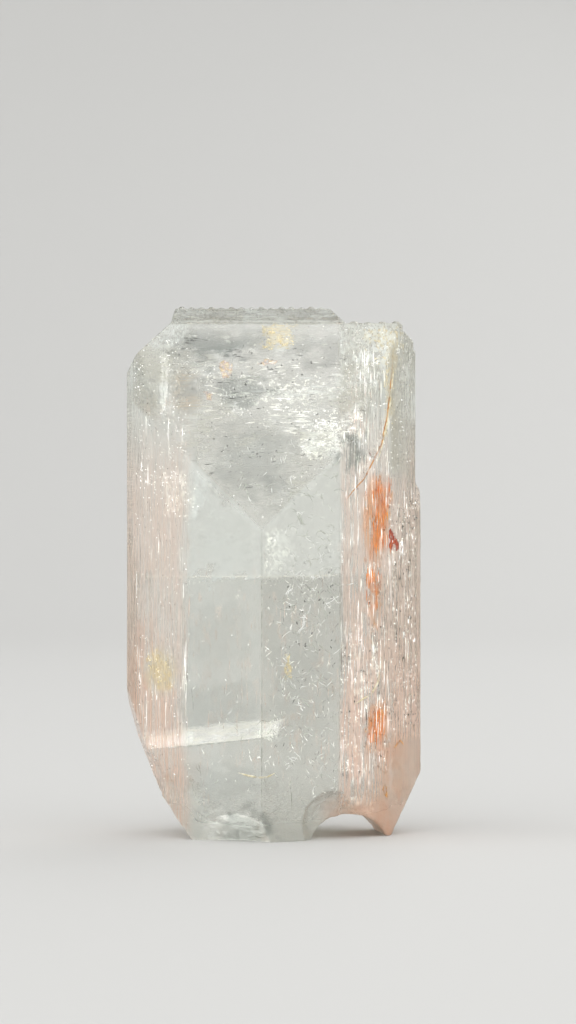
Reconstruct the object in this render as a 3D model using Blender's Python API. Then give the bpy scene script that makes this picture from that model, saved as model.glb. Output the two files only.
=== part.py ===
"""A topaz crystal: one prismatic crystal with a wedge of dome faces on top and a broken base.

The crystal is drawn the way a mineralogist draws it: each flat face is a plane given by its Miller indices
and a point that it passes through. The a axis points to the front (-Y), b to the right (+X) and c up.
Parallel growth blocks are cut from cubes by such planes and then joined. Sizes below are in millimetres.
"""

import math
import random

import bmesh
import bpy
from mathutils import Euler, Vector

MM = 0.001
SEED = 36
INSIDE = 0.3
BLANK_SIZE = 120

# Axial ratio of topaz
CELL_A = 0.5285
CELL_B = 1.0
CELL_C = 0.9539

# Driving dimensions
HEIGHT = 40.0
SHOULDER_HEIGHT = 38.65
FRONT_Y = -8.15
BACK_Y = 8.15
FRONT_EDGE_X = -0.87
LEFT_X = -11.15
RIGHT_X = 11.15
UPPER_RIGHT_X = 10.6

# Where each prism face ends, as seen from the front or the back, going outwards
FRONT_RIGHT_ENDS = (4.9, 8.4)
FRONT_LEFT_ENDS = (-6.35, -9.4)
BACK_FLAT = (-5.9, 4.3)
BACK_RIGHT_END = 8.8
BACK_LEFT_END = -9.1

# Heights where the two large dome faces leave the prism
FRONT_DOME_Z = 23.05
BACK_DOME_Z = 19.5

# Side dome faces: Miller indices, and a point that each passes through
SIDE_DOMES = (
    ((0, -1, 1), (-7.86, 0, SHOULDER_HEIGHT)),
    ((0, -2, 1), (-10.6, 0, 35.9)),
    ((0, 1, 1), (9.2, 0, SHOULDER_HEIGHT)),
)

# The growth blocks end below the base, each at its own depth, and the base cleavage trims them all
MAIN_BOTTOM = -2
SIDE_BOTTOM = -3
LOWER_BOTTOM = -4

# The raised crest on top
CREST_SETBACK = 0.35
CREST_LEFT = (-7.85, 38.6)
CREST_RIGHT = (5.5, 38.6)
CREST_RIGHT_WALL = 6.1
CREST_DEEP = 1.6
CREST_MIDDLE_Y = 1.95
CREST_BUMPS = 15
CREST_BUMP_SPAN = (-7.02, 3.6)
CREST_BUMP_RISE = 0.22
SHELF_BUMPS = 4
SHELF_BUMP_SPAN = (6.1, 9.3)
SHELF_BUMP_RISE = 0.24
BUMP_ROOT = 0.3
BUMP_FILL = 0.49
BUMP_RINGS = 6
CREST_BUMP_DEEP = 0.4
SHELF_BUMP_DEEP = 0.7

# The growth on the right side
SIDE_GROWTH_PROUD = 0.28
SIDE_GROWTH_TOP = (5.4, 25.2)
SIDE_GROWTH_SHELF = 36.6
SIDE_GROWTH_WALL = 10.74
LOWER_RIGHT_PROUD = 0.16
LOWER_TOTAL_PROUD = 0.5
LOWER_GROWTH_TOP = (9.2, 25.4)
GROWTH_ROOT = 1.0

# Level growth lines of the domes
GROWTH_LINE_WIDTH = 0.26
GROWTH_LINE_DEPTH = 0.09
GROWTH_LINE_SPAN = (-9, 9)
BACK_DOME_X = -0.8

# Each dome: height range and how many growth lines, their lengths, and two limits on its half width,
# each as its width at the foot and how fast it widens
FRONT_DOME_LINES = ((26.0, 37.8), 120, (0.8, 2.8), ((-1.0, 0.9), (2.6, 0.4)))
BACK_DOME_LINES = ((21.0, 37.6), 120, (0.8, 3.0), ((4.6, 0.22), (4.6, 0.22)))

# The notch in the left side: middle, length, width, depth
SIDE_NOTCH = ((LEFT_X, 2.0, 24.9), 2.6, 0.34, 0.2)

# Etched bands of the far right face: x range, z range, how many pits, how far the surface is proud
ETCHED = (
    ((8.6, 10.2), (26.2, 31.6), 40, SIDE_GROWTH_PROUD),
    ((9.6, 10.5), (4.6, 21.6), 60, LOWER_TOTAL_PROUD),
)

PIT_GAPS = (0.4, 0.62)
PIT_SIZE = (0.6, 0.4, 0.16)

# Upright grooves: face, x range, z range, how many, lengths, width, depth, how far the surface is proud
STRIATIONS = (
    ("left", (-9.2, -6.6), (8.0, 30.0), 70, (2.0, 5.5), 0.2, 0.07, 0.0),
    ("far left", (-10.9, -9.7), (12.5, 32.0), 26, (2.0, 6.0), 0.2, 0.08, 0.0),
    ("front left", (-5.9, -1.4), (3.6, 23.0), 18, (1.4, 3.6), 0.18, 0.04, 0.0),
    ("front right", (-0.2, 4.5), (5.6, 21.0), 18, (1.4, 3.6), 0.18, 0.04, 0.0),
    ("right", (5.2, 8.1), (5.6, 22.6), 70, (1.6, 4.6), 0.24, 0.1, SIDE_GROWTH_PROUD),
    ("back left", (-8.7, -6.3), (7.0, 17.0), 26, (1.8, 4.6), 0.22, 0.08, 0.0),
    ("back", (-5.5, 3.9), (7.6, 16.8), 36, (1.8, 5.0), 0.22, 0.06, 0.0),
    ("back right", (4.7, 8.2), (7.0, 17.0), 30, (1.8, 4.6), 0.22, 0.08, 0.0),
)

# The broken base: the flat cleavage that it stands on, and the arch under the right side
ARCH_X = 5.15
ARCH_HALF_WIDTH = 3.1
ARCH_HEIGHT = 1.85
ARCH_DROP = 1.3
ARCH_LENGTH = 30
ARCH_TURN = (0, 0.1, 0.12)
BREAK_SIZE = 60

# The low cleavage crack, open on the front faces: x and z of its mouth, then how far it reaches in
CRACK = ((-9.5, 6.5, 3.6), (-7.8, 6.75, 4.6), (-6.35, 6.95, 5.0), (-3.0, 7.4, 4.7), (-0.87, 7.7, 4.9), (0.4, 7.9, 3.9))
CRACK_RISE = 1.25
CRACK_MOUTH = 0.12
CRACK_START = 0.6

# Flat breaks: name, a point on the plane, which way it faces
FLAT_BREAKS = (
    ("left break", (-10.93, 0, 10.5), (-0.957, -0.10, -0.29)),
    ("left foot break", (-9.65, 0, 5.25), (-0.76, 0.12, -0.64)),
    ("right foot break", (8.86, 0, 0.0), (0.905, -0.05, -0.423)),
    ("base cleavage", (0, 0, 0), (0, 0, -1)),
)

# Shell-shaped breaks: name, centre, radii, turn
SHELL_BREAKS = (
    ("front scallop", (5.0, -6.7, 1.3), (3.0, 2.7, 3.0), (0.3, 0.2, 0.6)),
    ("foot scallop", (12.5, -1.3, 2.5), (3.2, 3.0, 4.2), (0.2, -0.2, 0.2)),
    ("left scallop", (-11.6, -3.4, 3.4), (3.2, 5.0, 4.0), (0.2, 0.5, 0.3)),
    ("front left scallop", (-4.2, -9.9, -0.9), (5.0, 4.4, 4.2), (0.1, 0.1, -0.4)),
    ("back scallop", (-5.6, 11.4, -0.2), (6.4, 4.6, 6.2), (0.2, -0.2, 0.3)),
    ("back right scallop", (8.6, 9.6, 0.4), (5.6, 5.4, 4.6), (0.1, 0.3, -0.3)),
)
SHELL_RINGS = 12
SHELL_RIPPLE = 0.012
SHELL_RIPPLES = 9


def face_normal(miller):
    """The outward normal of a crystal face."""
    on_a, on_b, on_c = miller
    return Vector((on_b / CELL_B, -on_a / CELL_A, on_c / CELL_C)).normalized()


def along_face(miller, start, x_end):
    """The point on an upright face that has this x, starting from a point on it."""
    normal = face_normal(miller)
    return Vector((x_end, start.y - (x_end - start.x) * normal.x / normal.y, start.z))


def growth_block(name, faces, collection):
    """A cube cut down by planes. Each plane is (normal, point), and what lies outside it goes."""
    bm = bmesh.new()
    bmesh.ops.create_cube(bm, size=BLANK_SIZE * MM)
    for normal, point in faces:
        cut = bmesh.ops.bisect_plane(
            bm,
            geom=bm.verts[:] + bm.edges[:] + bm.faces[:],
            dist=1e-7,
            plane_co=Vector(point) * MM,
            plane_no=normal,
            clear_outer=True,
        )
        rim = [e for e in cut["geom_cut"] if isinstance(e, bmesh.types.BMEdge)]
        if rim:
            bmesh.ops.edgenet_fill(bm, edges=rim)
    return finish_object(name, bm, collection)


def finish_object(name, bm, collection):
    """A new object that holds the finished mesh, its faces turned outwards."""
    bm.normal_update()
    bmesh.ops.recalc_face_normals(bm, faces=bm.faces[:])
    mesh = bpy.data.meshes.new(name)
    bm.to_mesh(mesh)
    bm.free()
    obj = bpy.data.objects.new(name, mesh)
    collection.objects.link(obj)
    return obj


def prism_faces():
    """The upright faces of the main prism, walked outwards from its front edge and its flat back."""
    front = Vector((FRONT_EDGE_X, FRONT_Y, 0))
    right_1 = along_face((1, 1, 0), front, FRONT_RIGHT_ENDS[0])
    right_2 = along_face((1, 2, 0), right_1, FRONT_RIGHT_ENDS[1])
    left_1 = along_face((1, -1, 0), front, FRONT_LEFT_ENDS[0])
    left_2 = along_face((1, -2, 0), left_1, FRONT_LEFT_ENDS[1])
    back_left = Vector((BACK_FLAT[0], BACK_Y, 0))
    back_right = Vector((BACK_FLAT[1], BACK_Y, 0))
    back_right_1 = along_face((-1, 1, 0), back_right, BACK_RIGHT_END)
    back_left_1 = along_face((-1, -1, 0), back_left, BACK_LEFT_END)
    return {
        "front right": ((1, 1, 0), front),
        "front left": ((1, -1, 0), front),
        "right": ((1, 2, 0), right_1),
        "far right": ((1, 3, 0), right_2),
        "left": ((1, -2, 0), left_1),
        "far left": ((1, -3, 0), left_2),
        "back": ((-1, 0, 0), back_left),
        "back right": ((-1, 1, 0), back_right),
        "back left": ((-1, -1, 0), back_left),
        "back far right": ((-1, 2, 0), back_right_1),
        "back far left": ((-1, -2, 0), back_left_1),
    }


def planes(walls, default, proud=None):
    """Planes of the walls, moved outwards by the amount under their name in proud, or else by default."""
    moved = []
    for name, (miller, point) in walls.items():
        normal = face_normal(miller)
        moved.append((normal, point + normal * (proud or {}).get(name, default)))
    return moved


def upright_at(x):
    """A side face {010} at this x."""
    side = math.copysign(1, x)
    return (Vector((side, 0, 0)), Vector((x, 0, 0)))


def dome_planes(front_back=0.0):
    """The front dome (101) and the steeper back dome (-201), moved into the crystal by front_back."""
    front = face_normal((1, 0, 1))
    back = face_normal((-2, 0, 1))
    return [
        (front, Vector((0, FRONT_Y, FRONT_DOME_Z)) - front * front_back),
        (back, Vector((0, BACK_Y, BACK_DOME_Z)) - back * front_back * 0.4),
    ]


def inner_cut(x):
    """Ends a growth block at this x, inside the main block."""
    return (Vector((-1, 0, 0)), Vector((x, 0, 0)))


def level(z, up=True):
    """A basal face at this height, facing up or down."""
    return (Vector((0, 0, 1 if up else -1)), Vector((0, 0, z)))


def main_block(collection):
    faces = planes(prism_faces(), 0.0) + dome_planes()
    faces += [upright_at(LEFT_X), upright_at(UPPER_RIGHT_X), level(SHOULDER_HEIGHT), level(MAIN_BOTTOM, up=False)]
    faces += [(face_normal(miller), Vector(point)) for miller, point in SIDE_DOMES]
    return growth_block("topaz_crystal", faces, collection)


def crest_block(collection):
    """The narrow block that stands above the shoulders."""
    faces = dome_planes(CREST_SETBACK)
    faces += [
        level(HEIGHT - CREST_BUMP_RISE),
        level(SHOULDER_HEIGHT - CREST_DEEP, up=False),
        (face_normal((0, -4, 1)), Vector((CREST_LEFT[0], 0, CREST_LEFT[1]))),
        (face_normal((0, 1, 1)), Vector((CREST_RIGHT[0], 0, CREST_RIGHT[1]))),
        upright_at(CREST_RIGHT_WALL),
    ]
    return growth_block("crest block", faces, collection)


def side_growth(collection):
    """A parallel growth that stands a little proud of the right faces, under its own dome face."""
    walls = prism_faces()
    start = along_face((1, 2, 0), walls["right"][1], SIDE_GROWTH_TOP[0])
    proud = dict.fromkeys(("right", "far right", "back far right"), SIDE_GROWTH_PROUD)
    faces = planes(walls, -INSIDE, proud) + dome_planes(INSIDE)
    faces += [
        (face_normal((1, 0, 1)), Vector((start.x, start.y, SIDE_GROWTH_TOP[1]))),
        upright_at(SIDE_GROWTH_WALL),
        inner_cut(SIDE_GROWTH_TOP[0] - GROWTH_ROOT),
        level(SIDE_GROWTH_SHELF),
        level(SIDE_BOTTOM, up=False),
    ]
    return growth_block("side growth", faces, collection)


def lower_growth(collection):
    """The widest stretch, low on the right side."""
    proud = dict.fromkeys(("far right", "back far right"), LOWER_TOTAL_PROUD)
    proud["right"] = LOWER_RIGHT_PROUD
    faces = planes(prism_faces(), -2 * INSIDE, proud) + dome_planes(2 * INSIDE)
    faces += [
        upright_at(RIGHT_X),
        inner_cut(SIDE_GROWTH_TOP[0] + GROWTH_ROOT),
        (face_normal((1, 3, 2)), Vector((LOWER_GROWTH_TOP[0], 0, LOWER_GROWTH_TOP[1]))),
        level(LOWER_BOTTOM, up=False),
    ]
    return growth_block("lower growth", faces, collection)


def ellipsoid(bm, centre, radii, turn=(0, 0, 0), rings=SHELL_RINGS, ripple=0.0):
    """A closed ellipsoid. Its ripples run round its local Z, like those of a shell-shaped break."""
    made = bmesh.ops.create_uvsphere(bm, u_segments=2 * rings, v_segments=rings, radius=1)["verts"]
    turned = Euler(turn).to_matrix()
    for vert in made:
        swell = 1 + ripple * math.sin(SHELL_RIPPLES * math.acos(max(-1, min(1, vert.co.z))))
        stretched = Vector([vert.co[i] * radii[i] * swell for i in range(3)])
        vert.co = (turned @ stretched + Vector(centre)) * MM


def shell_break(name, centre, radii, turn, collection, ripple=SHELL_RIPPLE):
    """A cutter that leaves one shell-shaped break."""
    bm = bmesh.new()
    ellipsoid(bm, centre, radii, turn, ripple=ripple)
    return finish_object(name, bm, collection)


def arch_cutter(collection):
    """The arch that runs from front to back under the right side."""
    rise = ARCH_HEIGHT + ARCH_DROP
    reach = ARCH_HALF_WIDTH / math.sqrt(1 - (ARCH_DROP / rise) ** 2)
    return shell_break("arch", (ARCH_X, 0, -ARCH_DROP), (reach, ARCH_LENGTH, rise), ARCH_TURN, collection, 0.0)


def flat_break(name, point, outward, collection):
    """A thick slab that lies outside a plane, for a flat break."""
    normal = Vector(outward).normalized()
    turned = normal.to_track_quat("Z", "Y").to_matrix()
    bm = bmesh.new()
    for vert in bmesh.ops.create_cube(bm, size=BREAK_SIZE)["verts"]:
        raised = vert.co + Vector((0, 0, BREAK_SIZE / 2))
        vert.co = (turned @ raised + Vector(point)) * MM
    return finish_object(name, bm, collection)


def front_y(x):
    """Where the main block's front faces are at this x."""
    walls = prism_faces()
    side, steep = ("right", (1, 2, 0)) if x > FRONT_EDGE_X else ("left", (1, -2, 0))
    start = walls[side][1]
    if abs(x - FRONT_EDGE_X) > abs(start.x - FRONT_EDGE_X):
        return along_face(steep, start, x).y
    miller, edge = walls["front " + side]
    return along_face(miller, edge, x).y


def crack_cutter(collection):
    """A wedge that leaves a fine, nearly level crack, widest where it opens."""
    bm = bmesh.new()
    rows = []
    for x, z, reach in CRACK:
        mouth = front_y(x)
        fall = CRACK_RISE * CRACK_START / reach
        low = Vector((x, mouth - CRACK_START, z - fall - CRACK_MOUTH / 2))
        tip = Vector((x, mouth + reach, z + CRACK_RISE))
        rows.append([bm.verts.new(point * MM) for point in (low, low + Vector((0, 0, CRACK_MOUTH)), tip)])
    for first, second in zip(rows, rows[1:]):
        for i in range(3):
            bm.faces.new((first[i], second[i], second[(i + 1) % 3], first[(i + 1) % 3]))
    bm.faces.new(rows[0])
    bm.faces.new(rows[-1])
    bmesh.ops.triangulate(bm, faces=bm.faces[:])
    return finish_object("cleavage crack", bm, collection)


def needle(bm, point, along, outward, length, width, depth):
    """A long pointed cutter lying in a face: it leaves a groove that runs out at both ends."""
    across = along.cross(outward)
    tips = [bm.verts.new((point + along * length * s + outward * depth * 0.1) * MM) for s in (-0.5, 0.5)]
    ring = []
    for side, out in ((-0.5, 0.1), (0, 1), (0.5, 0.1), (0, -1)):
        ring.append(bm.verts.new((point + across * width * side + outward * depth * out) * MM))
    for i in range(4):
        bm.faces.new((ring[i], ring[(i + 1) % 4], tips[1]))
        bm.faces.new((ring[(i + 1) % 4], ring[i], tips[0]))


def scatter(rng, count, u_range, v_range, gap_u, gap_v, tries=4000):
    """Places on a face, none of them within the gaps of another."""
    placed = []
    for _ in range(tries):
        if len(placed) == count:
            break
        u = rng.uniform(*u_range)
        v = rng.uniform(*v_range)
        if all(abs(u - a) > gap_u or abs(v - b) > gap_v for a, b in placed):
            placed.append((u, v))
    return placed


def face_needles(bm, rng, wall, x_range, z_range, count, lengths, width, depth, proud):
    """Upright striation grooves on one prism face."""
    miller, start = wall
    normal = face_normal(miller)
    for x, z in scatter(rng, count, x_range, z_range, width * 1.5, lengths[1] * 1.02):
        point = along_face(miller, start, x) + normal * proud
        place = Vector((point.x, point.y, z))
        deep = depth * rng.uniform(0.5, 1.2)
        needle(bm, place, Vector((0, 0, 1)), normal, rng.uniform(*lengths), width, deep)


def dome_needles(bm, rng, miller, foot, z_range, count, lengths, reach):
    """Level growth lines on a dome face. foot is a point on it, and reach limits its half width at a height."""
    normal = face_normal(miller)
    for x, z in scatter(rng, count, GROWTH_LINE_SPAN, z_range, lengths[1] * 1.02, GROWTH_LINE_WIDTH * 1.3):
        length = rng.uniform(*lengths)
        rise = z - foot.z
        if abs(x - foot.x) + length / 2 > min(width + widening * rise for width, widening in reach):
            continue
        place = Vector((x, foot.y - rise * normal.z / normal.y, z))
        deep = GROWTH_LINE_DEPTH * rng.uniform(0.5, 1.2)
        needle(bm, place, Vector((1, 0, 0)), normal, length, GROWTH_LINE_WIDTH, deep)


def striations(collection):
    """All the upright grooves of the prism faces, as one cutter."""
    rng = random.Random(SEED)
    walls = prism_faces()
    bm = bmesh.new()
    for name, *spread in STRIATIONS:
        face_needles(bm, rng, walls[name], *spread)
    return finish_object("striations", bm, collection)


def growth_lines(collection):
    """The level grooves of both large domes and one notch in the left side, as one cutter."""
    rng = random.Random(SEED + 4)
    bm = bmesh.new()
    front = Vector((FRONT_EDGE_X, FRONT_Y, FRONT_DOME_Z))
    back = Vector((BACK_DOME_X, BACK_Y, BACK_DOME_Z))
    dome_needles(bm, rng, (1, 0, 1), front, *FRONT_DOME_LINES)
    dome_needles(bm, rng, (-2, 0, 1), back, *BACK_DOME_LINES)
    middle, *size = SIDE_NOTCH
    needle(bm, Vector(middle), Vector((0, 1, 0)), Vector((-1, 0, 0)), *size)
    return finish_object("growth lines", bm, collection)


def etch_pits(collection):
    """The pitted bands on the far right side, as one cutter."""
    rng = random.Random(SEED + 1)
    miller, start = prism_faces()["far right"]
    normal = face_normal(miller)
    bm = bmesh.new()
    for x_range, z_range, count, proud in ETCHED:
        for x, z in scatter(rng, count, x_range, z_range, *PIT_GAPS):
            point = along_face(miller, start, x) + normal * proud
            place = Vector((point.x, point.y, z))
            size = rng.uniform(0.5, 1.0)
            needle(bm, place, Vector((0, 0, 1)), normal, *[part * size for part in PIT_SIZE])
    return finish_object("etch pits", bm, collection)


def bump_row(name, span, count, y, top, rise, depth, collection):
    """A row of rounded growth hillocks, unequal in height. The first one has the full rise."""
    bm = bmesh.new()
    pitch = (span[1] - span[0]) / (count - 1)
    for i in range(count):
        tall = rise * (0.8 + 0.2 * math.cos(2.4 * i))
        centre = (span[0] + pitch * i, y, top - BUMP_ROOT)
        ellipsoid(bm, centre, (pitch * BUMP_FILL, depth, tall + BUMP_ROOT), rings=BUMP_RINGS)
    return finish_object(name, bm, collection)


def join(target, other, operation="UNION"):
    """Adds a Boolean modifier that joins or cuts with another mesh."""
    modifier = target.modifiers.new(other.name, "BOOLEAN")
    modifier.object = other
    modifier.operation = operation


def hide(obj):
    obj.hide_render = True
    obj.display_type = "WIRE"


def clear_topaz():
    """Clear, faintly bluish topaz."""
    material = bpy.data.materials.new("clear topaz")
    material.use_nodes = True
    shader = material.node_tree.nodes["Principled BSDF"]
    shader.inputs["Base Color"].default_value = (0.78, 0.84, 0.82, 1)
    shader.inputs["Roughness"].default_value = 0.08
    shader.inputs["IOR"].default_value = 1.62
    shader.inputs["Transmission Weight"].default_value = 1.0
    return material


def main():
    for old in list(bpy.data.objects):
        bpy.data.objects.remove(old)
    crystal_parts = bpy.data.collections.new("topaz crystal")
    helpers = bpy.data.collections.new("cutters and growth blocks")
    for collection in (crystal_parts, helpers):
        bpy.context.scene.collection.children.link(collection)
    crystal = main_block(crystal_parts)
    crystal.data.materials.append(clear_topaz())
    added = [crest_block(helpers), side_growth(helpers), lower_growth(helpers)]
    crest_top = HEIGHT - CREST_BUMP_RISE
    row = (CREST_BUMP_SPAN, CREST_BUMPS, CREST_MIDDLE_Y, crest_top, CREST_BUMP_RISE, CREST_BUMP_DEEP)
    added.append(bump_row("crest bumps", *row, helpers))
    row = (SHELF_BUMP_SPAN, SHELF_BUMPS, CREST_MIDDLE_Y, SHOULDER_HEIGHT, SHELF_BUMP_RISE, SHELF_BUMP_DEEP)
    added.append(bump_row("shelf bumps", *row, helpers))
    for block in added:
        hide(block)
        join(crystal, block)
    cutters = [flat_break(*row, helpers) for row in FLAT_BREAKS]
    cutters += [arch_cutter(helpers), crack_cutter(helpers)]
    cutters += [shell_break(*row, helpers) for row in SHELL_BREAKS]
    cutters += [striations(helpers), growth_lines(helpers), etch_pits(helpers)]
    for cutter in cutters:
        hide(cutter)
        join(crystal, cutter, "DIFFERENCE")


main()
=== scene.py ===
import math
import random

import bmesh
import bpy
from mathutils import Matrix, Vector, noise
from mathutils.bvhtree import BVHTree


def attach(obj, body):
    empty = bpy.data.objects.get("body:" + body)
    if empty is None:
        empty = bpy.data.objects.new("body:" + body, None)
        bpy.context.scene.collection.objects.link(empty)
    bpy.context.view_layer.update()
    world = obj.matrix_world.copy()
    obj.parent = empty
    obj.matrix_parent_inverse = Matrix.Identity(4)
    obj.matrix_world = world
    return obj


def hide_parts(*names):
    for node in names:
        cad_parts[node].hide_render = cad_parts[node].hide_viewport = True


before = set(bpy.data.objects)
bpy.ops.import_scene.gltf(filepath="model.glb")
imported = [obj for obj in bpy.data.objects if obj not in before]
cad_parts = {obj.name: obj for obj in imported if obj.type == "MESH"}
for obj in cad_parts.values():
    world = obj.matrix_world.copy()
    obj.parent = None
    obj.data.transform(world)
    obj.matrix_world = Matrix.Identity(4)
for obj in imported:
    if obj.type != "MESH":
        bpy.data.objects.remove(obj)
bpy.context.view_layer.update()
mm = 0.001
sceneSeed = 36
noise.seed_set(sceneSeed)  # without it noise_vector changes from run to run


def linearColour(text):
    # "#rrggbb" as the photograph shows it, turned into Blender's linear values
    parts = [int(text[i:i + 2], 16) / 255 for i in (1, 3, 5)]
    curve = [p / 12.92 if p <= 0.04045 else ((p + 0.055) / 1.055) ** 2.4 for p in parts]
    return (*curve, 1)


# node maths

def mathNode(operation, turned=False):
    # a method of Wire that adds one Math node; turned swaps its two values, as 1 - wire needs
    def add(wire, other):
        return wire.math(operation, *((other, wire) if turned else (wire, other)))
    return add


class Wire:
    # one output socket; sums, products and differences of wires add Math nodes to its tree
    def __init__(self, socket):
        self.socket = socket

    @staticmethod
    def node(tree, kind, settings=None, values=None, output=0):
        made = tree.nodes.new(kind)
        for name, value in (settings or {}).items():
            setattr(made, name, value)
        for key, value in (values or {}).items():
            if isinstance(value, Wire):
                tree.links.new(value.socket, made.inputs[key])
            else:
                made.inputs[key].default_value = value
        return Wire(made.outputs[output])

    def beside(self, kind, settings=None, values=None, output=0):
        return Wire.node(self.socket.id_data, kind, settings, values, output)

    def math(self, operation, *values):
        return self.beside("ShaderNodeMath", {"operation": operation}, dict(enumerate(values)))

    __add__, __radd__ = mathNode("ADD"), mathNode("ADD", True)
    __sub__, __rsub__ = mathNode("SUBTRACT"), mathNode("SUBTRACT", True)
    __mul__, __rmul__ = mathNode("MULTIPLY"), mathNode("MULTIPLY", True)
    least, most = mathNode("MINIMUM"), mathNode("MAXIMUM")

    def size(self):
        return self.math("ABSOLUTE", self)

    def rise(self, low, high):  # 0 below low, 1 above high; low over high turns it round
        limits = {"Value": self, "From Min": low, "From Max": high}
        return self.beside("ShaderNodeMapRange", {"interpolation_type": "SMOOTHSTEP"}, limits)

    def within(self, low, high, soft):
        return self.rise(low - soft, low + soft) * self.rise(high + soft, high - soft)

    def vector(self, operation, other):
        return self.beside("ShaderNodeVectorMath", {"operation": operation}, {0: self, 1: other})

    def scaled(self, amount):
        values = {0: self, "Scale": amount}
        return self.beside("ShaderNodeVectorMath", {"operation": "SCALE"}, values)

    def noise(self, stretch, detail=2.0, roughness=0.5, distortion=0.0):
        values = {"Vector": self.vector("MULTIPLY", stretch), "Scale": 1.0, "Detail": detail}
        values |= {"Roughness": roughness, "Distortion": distortion}
        return self.beside("ShaderNodeTexNoise", None, values)

    def cells(self, stretch):
        values = {"Vector": self.vector("MULTIPLY", stretch), "Scale": 1.0}
        return self.beside("ShaderNodeTexVoronoi", None, values)

    def blend(self, first, second):  # this wire is the factor between two colours
        return self.beside("ShaderNodeMix", {"data_type": "RGBA"}, {0: self, 6: first, 7: second}, 2)


def placeIn(tree):
    # the point on the crystal in millimetres, as a vector and as x, y and z
    if tree.type == "SHADER":
        raw = Wire.node(tree, "ShaderNodeTexCoord", output="Object")
    else:
        raw = Wire.node(tree, "GeometryNodeInputPosition")
    spot = raw.scaled(1 / mm)
    x, y, z = (spot.beside("ShaderNodeSeparateXYZ", None, {0: spot}, i) for i in range(3))
    return spot, x, y, z


def newMaterial(name):
    material = bpy.data.materials.new(name)
    material.use_nodes = True
    material.node_tree.nodes.clear()
    return material, material.node_tree


def shader(tree, values):
    return Wire.node(tree, "ShaderNodeBsdfPrincipled", None, values)


def closeMaterial(tree, surface, volume=None):
    end = tree.nodes.new("ShaderNodeOutputMaterial")
    tree.links.new(surface.socket, end.inputs["Surface"])
    if volume:
        tree.links.new(volume.socket, end.inputs["Volume"])


# regions of the crystal in millimetres, seen from the front

region = {
    "frontEdge": -0.87,      # the upright edge between the two large front faces
    "leftBand": -6.2,        # left of this the sides are grooved
    "rightBand": 4.9,        # right of this the sides are grooved
    "etched": 8.5,           # right of this the surface is pitted
    "domeLow": 23.05,        # the front dome starts here at the front edge
    "domeSlope": 0.97,       # how fast its lower boundary climbs to both sides
    "breakTop": 8.5,         # below this the base is broken
    "line": 19.5,            # where the back dome meets the upright back
    "crestLow": 38.6,        # above this the surface is the raised crest
    "smoothLow": 27.2,       # the smooth face at the upper right lies between these two
    "smoothHigh": 37.0,
    "footTop": 7.3,          # below this the right foot is a smooth break
    "footLean": 0.39,        # how far the left boundary of that break leans
}


def regionMasks(spot, x, y, z):
    drift = spot.noise((0.25, 0.25, 0.12), 2.0) - 0.5
    front = y.rise(1.5, -1.0)
    left = (x + drift * 2.4).rise(region["leftBand"] + 0.5, region["leftBand"] - 0.9)
    right = (x + drift * 0.8).rise(region["rightBand"] - 0.1, region["rightBand"] + 0.25)
    smooth = z.within(region["smoothLow"], region["smoothHigh"], 0.6)
    smooth = x.rise(region["etched"], region["etched"] + 0.5) * smooth * front
    etched = (x + drift * 1.6).rise(region["etched"] - 0.5, region["etched"] + 0.6) * (1 - smooth)
    climbed = z - (x - region["frontEdge"]).size() * region["domeSlope"]
    dome = climbed.rise(region["domeLow"] - 0.2, region["domeLow"] + 0.4)
    dome = (dome * x.rise(8.4, 7.8)).least(front)
    dome = dome.most(z.rise(region["line"], region["line"] + 0.5) * (1 - front) * 0.8)
    low = (z + drift * 3).rise(region["breakTop"], region["breakTop"] - 6)
    foot = (x + z * 0.35 + drift * 3).rise(8.2, 10.4) * (z + drift * 3).rise(8.6, 6.2)
    foot = foot.most((x + drift * 3).rise(2.6, 5.4) * (z + drift * 2).rise(4.6, 2.4))
    blotches = spot.noise((0.6, 0.6, 0.5), 3.0, 0.6).rise(0.3, 0.55)
    foot = foot * (front * 0.5 + 0.3) * (blotches * 0.5 + 0.6)
    crest = z.rise(region["crestLow"] - 0.2, region["crestLow"] + 0.3)
    broken = z.rise(region["footTop"] + 0.4, region["footTop"] - 0.4)
    broken = (x - z * region["footLean"]).rise(6.5, 6.9) * broken
    broken = broken.most(z.rise(2.9, 2.3) * x.rise(5.0, 5.6))
    unbroken = 1 - broken * y.rise(5.0, 2.5) * 0.92
    seam = climbed.within(region["domeLow"] - 0.4, region["domeLow"] + 0.4, 0.4)
    bare = (1 - smooth) * (1 - crest) * (1 - foot * 0.8)
    return {
        "front": front, "smooth": smooth, "foot": foot, "crest": crest, "dome": dome, "low": low,
        "etched": etched * unbroken,
        "seam": seam * front * x.rise(5.4, 4.6),
        "sides": left.most(right) * bare,
        "grooved": (left * 0.5).most(right) * bare * unbroken,
    }


# the crystal's surface

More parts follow.
